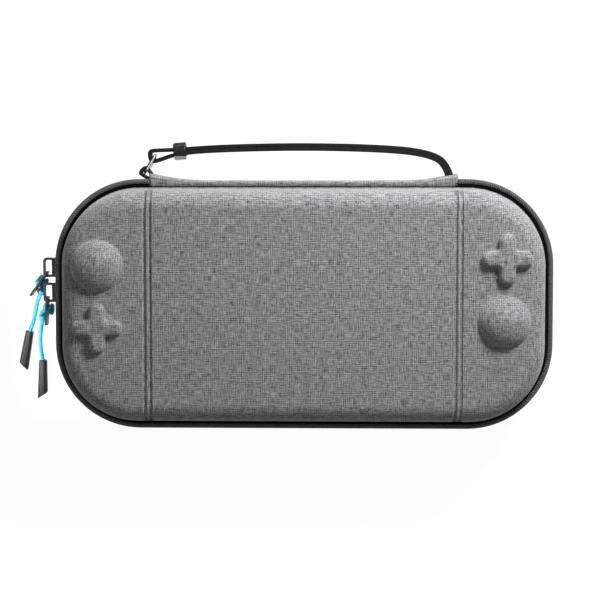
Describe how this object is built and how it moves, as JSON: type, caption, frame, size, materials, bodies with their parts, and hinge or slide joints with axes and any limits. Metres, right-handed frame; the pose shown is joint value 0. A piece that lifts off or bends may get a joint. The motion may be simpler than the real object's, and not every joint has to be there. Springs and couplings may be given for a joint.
{
  "type": "portable game console case",
  "caption": "Rounded hard-shell zip case for a handheld game console, with an embossed grey fabric front, cloth spine, carrying strap and corded zip pulls.",
  "frame": {"origin": "centre of the back face, on the surface that the case lies on", "axes": "+X along the case to the right, +Y towards the spine and strap, +Z to the embossed front"},
  "size_m": [0.2819, 0.1486, 0.0575],
  "materials": {
    "shell_fabric": "heather grey woven cloth laminated on moulded foam",
    "binding_fabric": "black twill binding",
    "zip_tape": "black woven zip tape",
    "zip_coil": "black nylon coil",
    "strap_leather": "black smooth strap leather",
    "webbing": "black webbing",
    "dark_metal": "black enamelled zinc, satin",
    "crimp_metal": "gloss black plated sleeve",
    "cord_blue": "cyan blue braided cord",
    "tip_rubber": "black moulded cord end",
    "pocket_net": "black elastic net",
    "elastic": "black elastic band",
    "hook_patch": "black hook and loop patch"
  },
  "bodies": {
    "base": {"back_shell": "shell_fabric", "back_rim_binding": "binding_fabric", "back_zip_tape": "zip_tape", "back_zip_coil": "zip_coil", "spine_panel": "shell_fabric", "wrist_strap": "strap_leather", "strap_crimp": "crimp_metal", "strap_webbing_loop": "webbing", "console_band_lower": "elastic", "console_band_upper": "elastic", "band_hook_patch": "hook_patch"},
    "lid": {"front_shell": "shell_fabric", "front_rim_binding": "binding_fabric", "front_zip_tape": "zip_tape", "front_zip_coil": "zip_coil", "mesh_pocket": "pocket_net", "pocket_hem": "elastic"},
    "upper_slider": {"upper_slider": "dark_metal"},
    "upper_pull": {"upper_pull_tab": "dark_metal", "upper_pull_cord": "cord_blue", "upper_pull_knot": "cord_blue", "upper_pull_tip": "tip_rubber"},
    "lower_slider": {"lower_slider": "dark_metal"},
    "lower_pull": {"lower_pull_tab": "dark_metal", "lower_pull_cord": "cord_blue", "lower_pull_knot": "cord_blue", "lower_pull_tip": "tip_rubber"},
    "link": {"strap_link": "dark_metal"}
  },
  "joints": [
    {"name": "lid_hinge", "type": "hinge", "parent": "base", "child": "lid", "pos_m": [0, 0.065, 0.025], "axis": [-1, 0, 0], "range_deg": [0, 110], "deforming": ["spine_panel"]},
    {"name": "upper_slider_run", "type": "hinge", "parent": "base", "child": "upper_slider", "pos_m": [-0.0845, 0.0205, 0.025], "axis": [0, 0, -1], "range_deg": [0, 60]},
    {"name": "lower_slider_run", "type": "slide", "parent": "base", "child": "lower_slider", "axis": [0, 1, 0], "range_m": [-0.02, 0]},
    {"name": "upper_tab_swing", "type": "hinge", "parent": "upper_slider", "child": "upper_pull", "pos_m": [-0.1336, 0.016, 0.025], "axis": [0, 0, 1], "range_deg": [-100, 0]},
    {"name": "lower_tab_swing", "type": "hinge", "parent": "lower_slider", "child": "lower_pull", "pos_m": [-0.1336, 0.0029, 0.025], "axis": [0, 0, 1], "range_deg": [-6, 0]},
    {"name": "link_swing", "type": "hinge", "parent": "base", "child": "link", "pos_m": [-0.083, 0.0681, 0.016], "axis": [0, 0, 1], "range_deg": [-5, 5]}
  ]
}
